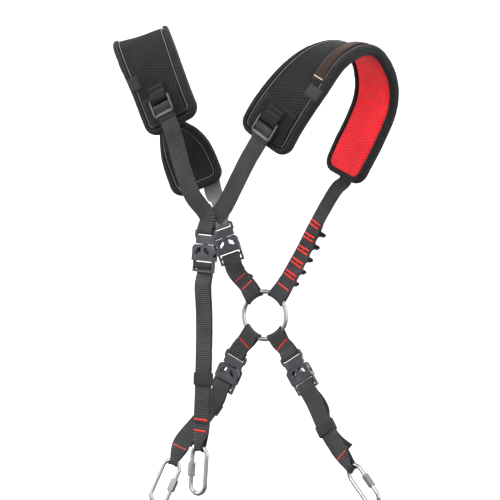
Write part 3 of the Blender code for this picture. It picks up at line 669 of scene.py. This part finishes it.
def pad_trims(left_pad, right_pad):
    """Reinforcing patches, edge keepers and the strip over the right shoulder."""
    for side, band, end in (("left", left_pad, 42), ("right", right_pad, 50)):
        strip_on_pad(f"{side}_patch_cloth", band, [(8, -24, 24), (end, -24, 24)], CLOTH_HIGH, 6.9, "patch",
                     "binding", [f"{side}_pad_patch"])
        strands = []
        for u in (-22.4, 22.4):
            strands += line_strands(band, 9.5, end - 1.5, u, u, 6.85)
        for s in (10, end - 2, end - 4.5):
            strands += line_strands(band, s, s + 0.01, -22.4, 22.4, 6.9)
        threads(f"{side}_patch_stitches", strands, SEAM_THREAD, "black_thread", "harness", "binding", 5)
    for side, band, loop in (("left", left_pad, [(56, -33, -19), (74, -33, -19)]),
                             ("right", right_pad, [(71, 15, 34), (84, 15, 34)])):
        strip_on_pad(f"{side}_edge_loop", band, loop, CLOTH_HIGH, 7.3, "elastic", "webbing",
                     [f"{side}_edge_keeper"])
    strip = [(s, 11.5 - 0.08 * (s - 90), 26.5 - 0.08 * (s - 90)) for s in (90, 110, 130, 150, 170)]
    strip_on_pad("right_brown_tape", right_pad, strip, 5.4, 7.4, "brown", "brown_strip",
                 ["right_shoulder_strip"])
    mark = line_strands(right_pad, 92.5, 92.51, 12.6, 25.6, 7.3, 1.3, 1.5)
    threads("right_tape_end_stitches", mark, 0.42, "white_thread", "harness", "brown_strip", 6)


# Routes of the webbing


def arc(s, n, radius, start, end, count, *rest):
    """Points of a turn about (s, n); an angle of 0 points to +s and 90 to +n."""
    turns = [math.radians(start + (end - start) * i / count) for i in range(count + 1)]
    return [(s + radius * math.cos(a), n + radius * math.sin(a), *rest) for a in turns]


def run(start, end, n, n_end=None):
    """Points every 18 mm or so from start to end."""
    count = max(1, round(abs(end - start) / 18))
    n_end = n if n_end is None else n_end
    return [(start + (end - start) * i / count, n + (n_end - n) * i / count) for i in range(count + 1)]


def wire_turn(s, radius, side, half=WEB / 2):
    """Round a wire at s, from n = side to -side; the strap comes from lower s."""
    turn = arc(s, 0, radius, 105 * side, -105 * side, 6, half, 1.0)
    lead = (s - 2.3 * radius, side * 0.62 * radius, half + 0.5 * (WEB / 2 - half), 0.5)
    return [lead, *turn, (lead[0], -lead[1], *lead[2:])]


def bar_turn(s, sewn=None):
    """Round the flat bar of a male buckle half, whose edge is at s, from the outer side. The
    strap lies double before it, up to the sewn end where there is one."""
    outer = [(-6, 1.5), (-3, 2.7), (1.4, 3.6), (4.3, 2.7), (5.0, 0.9)]
    if sewn:
        outer = [(-12, LAYER), *outer]
    route = [(s + a, b) for a, b in outer + [(a, -b) for a, b in reversed(outer)]]
    return route + ([(s - sewn, -LAYER)] if sewn else [])


def adjuster_turn(s):
    """Round the adjuster bar at s: the load comes up the inner side, the tail goes out above it."""
    turn = arc(s, 0, BAR_TURN, 275, 45, 7)
    return [(s + 14, -3.8), (s + 8.5, -4.4), (s + 4, -4.2), *turn, (s + 4.0, -0.7), (s + 6.2, -2.4),
            (s + 9.5, -2.3), (s + 15, -0.9)]


def run_between(top, bottom, start=-14):
    """Points of a straight run that passes both and goes on a little at either end."""
    top, bottom = np.array(top, float), np.array(bottom, float)
    aim = unit(bottom - top)
    return [tuple(top + aim * step) for step in (start, 0, 24, 48, 58)]


def ring_point(angle):
    """A point on the ring's wire centre line; 0 is straight up and 90 is +X."""
    x, y, z = RING_CENTRE
    turn = math.radians(angle)
    return x + RING_R * math.sin(turn), y, z + RING_R * math.cos(turn)


def lock_frame(band, hinge):
    """A straight band through a lock on a pad: s is 0 at its hinge bar and grows up the pad."""
    point, _, along, face = band.frames(hinge)
    return Band([tuple(point + along * s) for s in (0, 20, 40)], [tuple(face)] * 3)


def lock_exit(band, hinge):
    """Where the webbing leaves a lock: points that carry it straight on."""
    flat = lock_frame(band, hinge)
    return [tuple(flat.place(-y, 0, LOCK_HEIGHT - 3)) for y in (21, 27, 34)]


def shoulder_band():
    """From the shoulder buckle straight to the upper left of the ring."""
    ring = np.array(ring_point(SHOULDER_RING_ANGLE))
    out = unit(ring - np.array(RING_CENTRE))
    points = [*run_between(SHOULDER_TOP, SHOULDER_BOTTOM), *(tuple(ring + s * out) for s in (12, 6, 0))]
    return Band(points, [SHOULDER_FACE] * 5 + [(0, 1, 0)] * 3)


def front_band(angle, top, line, faces):
    """From the ring wire through a buckle whose male bar is at top, and down to a link."""
    ring = np.array(ring_point(angle))
    out = unit(ring - np.array(RING_CENTRE))
    aim = unit(np.array(top[1], float) - np.array(top[0], float))
    start = np.array(top[0], float)
    points = [ring, ring + 10 * out, start - 6 * aim, start, start + 44 * aim, start + 56 * aim]
    band = Band([*map(tuple, points), *line], faces)
    return band, band.nearest(start)


# Hardware


def moulded(nodes, body, width=0.45):
    """Moulded pieces keep their CAD shape and get rounded edges."""
    for node in nodes:
        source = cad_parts[node].data
        mesh = bpy.data.meshes.new(node + "_moulding")
        shape = bmesh.new()
        shape.from_mesh(source)
        bmesh.ops.remove_doubles(shape, verts=shape.verts, dist=1e-6)
        bmesh.ops.dissolve_limit(shape, angle_limit=math.radians(1.5), verts=shape.verts, edges=shape.edges)
        shape.to_mesh(mesh)
        shape.free()
        mesh.materials.clear()
        mesh.materials.append(LOOKS["plastic"])
        mesh.shade_smooth()
        piece = add(node + "_moulding", mesh)
        bevel = piece.modifiers.new("edges", "BEVEL")
        bevel.width = width * MM
        bevel.segments = 3
        bevel.limit_method = "ANGLE"
        bevel.angle_limit = math.radians(28)
        bevel.use_clamp_overlap = True
        normals = piece.modifiers.new("normals", "WEIGHTED_NORMAL")
        normals.keep_sharp = True
        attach(piece, body)
        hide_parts(node)


def rib_bars(name, place, bars, look, body, slot, radius=0.55):
    """Raised half-round ribs on a fitting; each bar is its two ends in the fitting's own frame."""
    parts = []
    for a, b in bars:
        line = place(np.linspace(a, b, 9))
        normal = unit(place([0, 0, 1]) - place([0, 0, 0]))
        swell = radius * np.array([0.35, 0.8, 1, 1, 1, 1, 1, 0.8, 0.35])
        parts.append(tube(line, np.repeat(normal[None], 9, 0), swell, 8))
    return put(name, *gather(parts), look, body, slot)


def buckle_details(name, place, female_body):
    """Grip ribs on the hood, a rim round each window, and the crown of the middle tongue."""
    bars = []
    for z in (4.95, -4.95):
        bars += [((-9, y, z), (9, y, z)) for y in (31.0, 32.8)]
        bars += [((-13, 34.9, z), (13, 34.9, z))]
        for side in (-1, 1):
            for p, q in zip(LEAF, LEAF[1:] + LEAF[:1]):
                bars.append(((side * p[0], p[1], z), (side * q[0], q[1], z)))
    rib_bars(f"{name}_hood_ribs", place, bars, "plastic", female_body, "black_plastic", 0.42)
    bars = [((-12.0, 45.4, z), (12.0, 45.4, z)) for z in (1.9, -0.9)]
    rib_bars(f"{name}_lip_ribs", place, bars, "plastic", female_body, "black_plastic", 0.35)
    bars = [((side * 8.6, y, 2.0), (side * 12.4, y, 2.0)) for side in (-1, 1) for y in (9.6, 11.0)]
    rib_bars(f"{name}_male_ribs", place, bars, "plastic", "harness", "black_plastic", 0.3)


def link_line():
    """Centre line of a quick link, with its gap on the +x leg."""
    turns = np.radians(np.linspace(0, 180, 25))
    bend = LINK_LENGTH - LINK_R
    line = [(LINK_R, y) for y in np.linspace(25.5, 13, 7)]
    line += [(LINK_R * math.cos(a), LINK_R - LINK_R * math.sin(a)) for a in turns]
    line += [(-LINK_R, y) for y in np.linspace(13, 40, 10)]
    line += [(-LINK_R * math.cos(a), bend + LINK_R * math.sin(a)) for a in turns]
    return line + [(LINK_R, y) for y in np.linspace(40, 31, 5)]


def quick_link(name, place, link_body, sleeve_body):
    """The bent wire with its thread, and the hexagonal nut that closes it."""
    line = np.array([(x, y, 0) for x, y in link_line()])
    normal = unit(place([0, 0, 1]) - place([0, 0, 0]))
    wire = tube(place(line), np.repeat(normal[None], len(line), 0), LINK_WIRE, 20)
    parts = [wire]
    for y in np.arange(21.6, 25.6, 0.8):
        turns = np.linspace(0, math.tau, 21)[:-1]
        loop = np.stack([LINK_R + (LINK_WIRE - 0.02) * np.cos(turns), np.full(20, y),
                         (LINK_WIRE - 0.02) * np.sin(turns)], -1)
        axis = unit(place([0, 1, 0]) - place([0, 0, 0]))
        parts.append(tube(place(loop), np.repeat(axis[None], 20, 0), 0.28, 6, True))
    put(f"{name}_link_wire", *gather(parts), "steel", link_body, "steel", [f"{name}_quick_link"])
    rings = []
    low, high = SLEEVE_START, SLEEVE_START + SLEEVE_LENGTH
    stations = [(low, 2.95), (low, 4.0), (low + 0.5, 4.35), (low + 1.4, 4.75), (high - 1.4, 4.75),
                (high - 0.5, 4.35), (high, 4.0), (high, 2.95)]
    turns = np.linspace(0, math.tau, 25)[:-1] + math.pi / 6
    for y, radius in stations:
        flats = 4.0 / np.cos((turns - math.pi / 6 + math.pi / 6) % (math.pi / 3) - math.pi / 6)
        reach = np.minimum(radius, flats) if radius > 3 else np.full(24, radius)
        rings.append(np.stack([LINK_R + reach * np.cos(turns), np.full(24, y), reach * np.sin(turns)], -1))
    put(f"{name}_link_nut", place(np.array(rings)), loft_faces(len(rings), 24, True), "nut_steel",
        sleeve_body, "steel", [f"{name}_link_sleeve"], smooth=False)


def keeper(name, band, at, body, node):
    """An elastic loop round two layers of webbing."""
    place = band.fitting(at)
    wide = WEB / 2 + 1.6
    rings, routes = [], []
    turns = np.radians(np.arange(0, 360, 12))
    around = np.concatenate([[0], np.cumsum(np.full(len(turns) - 1, 2.1))])
    end, middle = KEEPER_LENGTH, KEEPER_LENGTH / 2
    for y, grow in ((0, 0.0), (0.5, 0.35), (middle, 0.5), (end - 0.5, 0.35), (end, 0.0), (end, -0.8),
                    (middle, -0.95), (0, -0.8)):
        x = np.sign(np.cos(turns)) * np.abs(np.cos(turns)) ** 0.35 * (wide + grow - 0.2)
        z = np.sign(np.sin(turns)) * np.abs(np.sin(turns)) ** 0.5 * (3.8 + grow) - 0.2
        rings.append(np.stack([x, np.full(len(turns), float(y)), z], -1))
        routes.append(np.stack([np.full(len(turns), float(y)), around, np.zeros(len(turns))], -1))
    put(name, place(np.array(rings)), loft_faces(len(rings), len(turns), True), "elastic", body, "webbing",
        [node], np.array(routes))


def fit_lock(side, band, hinge):
    """The tab, the ladder lock that hinges in it, and the turn of webbing in the lock."""
    flat = lock_frame(band, hinge)
    height = LOCK_HEIGHT
    tab = [(16, 7.9), (7, 7.9), (3, 8.4), *arc(0, height, 1.3 + GAP + WEB_THICK / 2, 285, 75, 7)]
    ribbon(f"{side}_tab", flat, tab + [(3.6, 13.0), (8, 10.4), (16, 9.9)], nodes=[f"{side}_lock_tab"],
           look="patch")
    strands = tack_strands(flat, 14.2, 10.75, 9.0, 1.8) + tack_strands(flat, 8.2, 11.2, 9.0, 1.8)
    threads(f"{side}_tab_tacks", strands, 0.3, "black_thread", "harness", "webbing")
    moulded([f"{side}_ladder_lock"], f"{side}_lock")
    place = flat.fitting(0, height, True)
    bars = [((-11.4, 18.6, 2.1), (11.4, 18.6, 2.1)), ((-11.0, 17.2, 2.1), (11.0, 17.2, 2.1))]
    bars += [((x, -1, 2.1), (x, 17.4, 2.1)) for x in (-12.4, 12.4)]
    # Raised ribs round the lock, coloured paler grey as a painted edge highlight.
    rib_bars(f"{side}_lock_lip", place, bars, "pale_plastic", f"{side}_lock", "black_plastic", 0.5)
    turn = [(-24, 10.1), (-16.8, 10.3), (-LOCK_BAR - 4.2, 11.8)]
    turn += arc(-LOCK_BAR, height, BAR_TURN, 480, 265, 8)
    turn += [(-LOCK_BAR - 3, 8.2), (-16.5, 8.3), (-19.3, 8.3)]
    ribbon(f"{side}_lock_strap", flat, turn, f"{side}_lock", [f"{side}_lock_webbing"])


# Build


def back_and_locks(left_pad, right_pad):
    """The locks, the two straps that meet at the back buckle, and the strap down to its link."""
    fit_lock("left", left_pad, LOCK_LEFT_AT)
    fit_lock("right", right_pad, LOCK_RIGHT_AT)
    back = Band([*run_between(BACK_TOP, BACK_BOTTOM), *BACK_LINE], [BACK_FACE] * 9)
    male_at = back.nearest(BACK_TOP)
    points = [*lock_exit(left_pad, LOCK_LEFT_AT), *LEFT_BACK, *run_between(BACK_TOP, BACK_BOTTOM)[:3]]
    run_left = Band(points, [(0, -1, 0)] * 6 + [BACK_FACE] * 3)
    end = run_left.nearest(BACK_TOP)
    path = run(0.4, end - 26, 0) + bar_turn(end, 24)
    left_strap = ribbon("left_back_strap", run_left, path, None, ["left_back_webbing"])
    run_right = Band([*lock_exit(right_pad, LOCK_RIGHT_AT), *RIGHT_BACK], [(0, -1, 0)] * 7)
    path = run(0.4, run_right.length, 0)
    right_strap = ribbon("right_back_strap", run_right, path, None, ["right_back_webbing"])
    for side, strap, band in (("left", left_strap, run_left), ("right", right_strap, run_right)):
        band.place(1.0) * MM
        band.place(45.0) * MM
        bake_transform(strap)
    tail = run(male_at + 62, back.length - 27, LAYER)
    lower_strap("back", back, male_at, "harness", tail)
    strands = double_tack(back, back.length - 17.5, 8.0) + tack_strands(back, back.length - 30, STITCHED, 9.0)
    red_threads("back_red_tacks", strands, "harness")
    keeper("back_elastic", back, male_at + KEEPER_AT["back"], "back_keeper", "back_keeper")
    quick_link("back", back.fitting(back.length), "back_link", "back_sleeve")
    buckle("back", back, male_at, "harness")


def buckle(name, band, male_at, female_body):
    """A closed buckle with the male half's bar at male_at."""
    moulded([f"{name}_male"], "harness")
    for side in ("left", "right"):
        moulded([f"{name}_prong_{side}"], f"{name}_prong_{side}", 0.6)
    moulded([f"{name}_female"], female_body)
    buckle_details(name, band.fitting(male_at), female_body)


def lower_strap(side, band, male_at, body, tail):
    """One length of webbing: sewn round its link, up to the adjuster bar and out as a tail."""
    bar, end = male_at + BUCKLE_BAR, band.length
    path = [(end - 22, LAYER), (end - 16, LAYER), *wire_turn(end, LINK_TURN, 1, 5.0)]
    path += run(end - 20, bar + 26, -LAYER, -2.0) + adjuster_turn(bar) + tail
    ribbon(f"{side}_lower_strap", band, path, body, [f"{side}_strap"], bend=LINK_R)


def upper_front(left_pad, right_pad):
    """Straps above the ring, with their daisy chains."""
    shoulder = shoulder_band()
    male_at, end = shoulder.nearest(SHOULDER_TOP), shoulder.length
    bar = male_at + BUCKLE_BAR
    path = [(end - 24, LAYER), (end - 15, LAYER), *wire_turn(end, RING_TURN, 1), (end - 15, -LAYER)]
    path += run(end - 24, bar + 24, -LAYER, -2.4) + adjuster_turn(bar) + [(bar + 22, 0.4)]
    ribbon("shoulder_ring_strap", shoulder, path, nodes=["shoulder_ring_webbing"])
    buckle("shoulder", shoulder, male_at, "harness")
    lead = [tuple(left_pad.place(left_pad.length + s, -14, n)) for s, n in ((-24, -7.6), (-6, -8.4))]
    front = Band([*lead, *LEFT_FRONT, *run_between(SHOULDER_TOP, SHOULDER_BOTTOM, -7)[:3]],
                 LEFT_FRONT_FACE + [SHOULDER_FACE] * 3)
    end = front.nearest(SHOULDER_TOP)
    path = run(0, end - 22, 0) + bar_turn(end, 18)
    ribbon("left_grey_strap", front, path, nodes=["left_front_webbing"], look="grey_webbing",
           slot="grey_webbing")
    pad_end = right_pad.length
    ring = np.array(ring_point(RIGHT_RING_ANGLE))
    out = unit(ring - np.array(RING_CENTRE))
    lead = [tuple(right_pad.place(pad_end + s, 0, n)) for s, n in ((-20, 7.2), (-8, 7.2), (4, 6.5))]
    right = Band([*lead, *RIGHT_FRONT, tuple(ring + 12 * out), tuple(ring)],
                 [RIGHT_PAD_FACE[-1]] * 4 + [(0.4, 0.9, 0), (0.2, 1, 0), (0.05, 1, 0)] + [(0, 1, 0)] * 2)
    end = right.length
    path = run(0, end - 26, 0) + [(end - 15, LAYER), *wire_turn(end, RING_TURN, 1)]
    path += [(end - 15, -LAYER), (end - 22, -LAYER)]
    ribbon("right_ring_strap", right, path, nodes=["right_front_webbing"])
    daisy("right", right, 5, 16.5)
    daisy("left", shoulder, 2, 15)


def daisy(side, band, loops, pitch):
    """A strip sewn on a strap, with a loop standing up in each pitch and red tacks between."""
    start = band.length - DAISY_END - loops * pitch
    path = [(start - 1, DAISY_BASE, DAISY_HALF)]
    for i in range(loops):
        middle = start + pitch * (i + 0.5)
        rise = [(-4.6, 0), (-2.2, 2.4), (-2.0, 8.5), (0, 11.5), (2.0, 8.5), (2.2, 2.4), (4.6, 0)]
        path += [(middle + a, DAISY_BASE + b, DAISY_HALF) for a, b in rise]
    path.append((start + pitch * loops + 1, DAISY_BASE, DAISY_HALF))
    ribbon(f"{side}_daisy_loops", band, path, nodes=[f"{side}_daisy_chain"], step=1.1)
    strands = []
    for i in range(loops + 1):
        s = start + pitch * i
        for n, half in ((DAISY_BASE + 0.9, 7.6), (-STITCHED, 8.2)):
            for shift in ((-2.4, 2.4) if i < loops else (0,)):
                strands += tack_strands(band, s + shift, n, half, 1.9)
            if i < loops:
                strands += line_strands(band, s - 2.4, s + 2.4, 0.0, 0.0, n, 1.2, 1.2)
    red_threads(f"{side}_daisy_tacks", strands, "harness")


def lower_front():
    """The two straps below the ring, each with a buckle, a keeper and a link."""
    left, left_male = front_band(LEFT_RING_ANGLE, (LEFT_TOP, LEFT_BOTTOM), LEFT_LINE,
                                 [(0, 1, 0)] * 7 + [(-0.15, 1, 0), (-0.3, 0.9, 0)])
    right, right_male = front_band(RIGHT_LOWER_ANGLE, (RIGHT_TOP, RIGHT_BOTTOM), RIGHT_LINE,
                                   [(0, 1, 0)] * 6 + [(0.1, 1, 0), (0.25, 0.95, 0), (0.35, 0.9, 0)])
    for side, band, male_at in (("left", left, left_male), ("right", right, right_male)):
        middle = male_at / 2
        ring = [(-s, n, half, -crease) for s, n, half, crease in wire_turn(0, RING_TURN, -1)]
        path = [(middle - 0.4, -LAYER), *ring, (middle, LAYER), *bar_turn(male_at), (middle + 0.4, -LAYER)]
        ribbon(f"{side}_ring_strap_loop", band, path, nodes=[f"{side}_ring_loop"])
        body = f"{side}_lower"
        lower_strap(side, band, male_at, body, [(male_at + s, n) for s, n in TAILS[side]])
        for kind, s, half, owner in (("loop", middle - 1, 9.0, "harness"),
                                     ("strap", band.length - 17, 8.0, body)):
            red_threads(f"{side}_{kind}_tacks", double_tack(band, s, half), owner)
        keeper(f"{side}_elastic", band, male_at + KEEPER_AT[side], f"{side}_keeper", f"{side}_keeper")
        quick_link(side, band.fitting(band.length), f"{side}_link", f"{side}_sleeve")
        buckle(side, band, male_at, body)


def chest_ring():
    turns = np.linspace(0, math.tau, 97)[:-1]
    x, y, z = RING_CENTRE
    line = np.stack([x + RING_R * np.cos(turns), np.full(96, y), z + RING_R * np.sin(turns)], -1)
    wire = tube(line, np.repeat([[0, 1, 0]], 96, 0), RING_WIRE, 24, True)
    put("ring_steel", *wire, "steel", "ring", "steel", ["chest_ring"])


# Stage


SWEEP = [(2.5, 0), (4.5, 0.05), (5.5, 0.4), (6.2, 1.2), (6.5, 2.4), (6.5, 7.0)]
FLOOR = -0.95
LAMPS = [("key", (0.2, -2.2, 1.4), 1.4, 38), ("fill", (2.0, -0.6, 0.2), 1.6, 18),
         ("side", (-1.8, -0.9, 0.7), 1.3, 20), ("back", (0.4, 2.2, 1.0), 1.6, 26)]
CAMERA_TURN, CAMERA_TARGET, CAMERA_AWAY, CAMERA_LENS = 28, (0.0137, 0.0074, -0.217), 2.0, 126.3


def stage():
    """A pale bowl-shaped sweep, soft lamps and the camera, all in metres."""
    sides = 64
    turns = np.linspace(0, math.tau, sides + 1)[:-1]
    rings = [np.stack([radius * np.cos(turns), radius * np.sin(turns), np.full(sides, height + FLOOR)], -1)
             for radius, height in SWEEP]
    mesh = bpy.data.meshes.new("sweep")
    mesh.from_pydata(np.array(rings).reshape(-1, 3).tolist(), [], loft_faces(len(rings), sides)[:-1])
    mesh.materials.append(plain_white("pale_sweep", (0.93, 0.93, 0.93)))
    mesh.shade_smooth()
    add("sweep", mesh)
    world = bpy.data.worlds.new("studio")
    world.use_nodes = True
    world.node_tree.nodes["Background"].inputs["Color"].default_value = (1, 1, 1, 1)
    world.node_tree.nodes["Background"].inputs["Strength"].default_value = 1.0
    bpy.context.scene.world = world
    bpy.context.scene.view_settings.view_transform = "Standard"
    aim = Vector((0.01, 0, -0.22))
    for name, place, size, power in LAMPS:
        light = bpy.data.lights.new(name, "AREA")
        light.energy, light.size = power, size
        lamp = add(name, light)
        lamp.location = place
        lamp.rotation_euler = (aim - Vector(place)).to_track_quat("-Z", "Y").to_euler()
    camera = bpy.data.cameras.new("camera")
    camera.lens, camera.sensor_width = CAMERA_LENS, 36
    eye = add("camera", camera)
    turn, target = math.radians(CAMERA_TURN), Vector(CAMERA_TARGET)
    eye.location = target + Vector((math.sin(turn), -math.cos(turn), 0)) * CAMERA_AWAY
    eye.rotation_euler = (target - eye.location).to_track_quat("-Z", "Y").to_euler()
    bpy.context.scene.camera = eye


def main():
    stage()
    left_pad, right_pad = Band(LEFT_PAD, LEFT_PAD_FACE), Band(RIGHT_PAD, RIGHT_PAD_FACE)
    for side, band in (("left", left_pad), ("right", right_pad)):
        pad_faces(side, band)
        pad_edge(side, band)
    pad_trims(left_pad, right_pad)
    back_and_locks(left_pad, right_pad)
    upper_front(left_pad, right_pad)
    lower_front()
    chest_ring()


main()
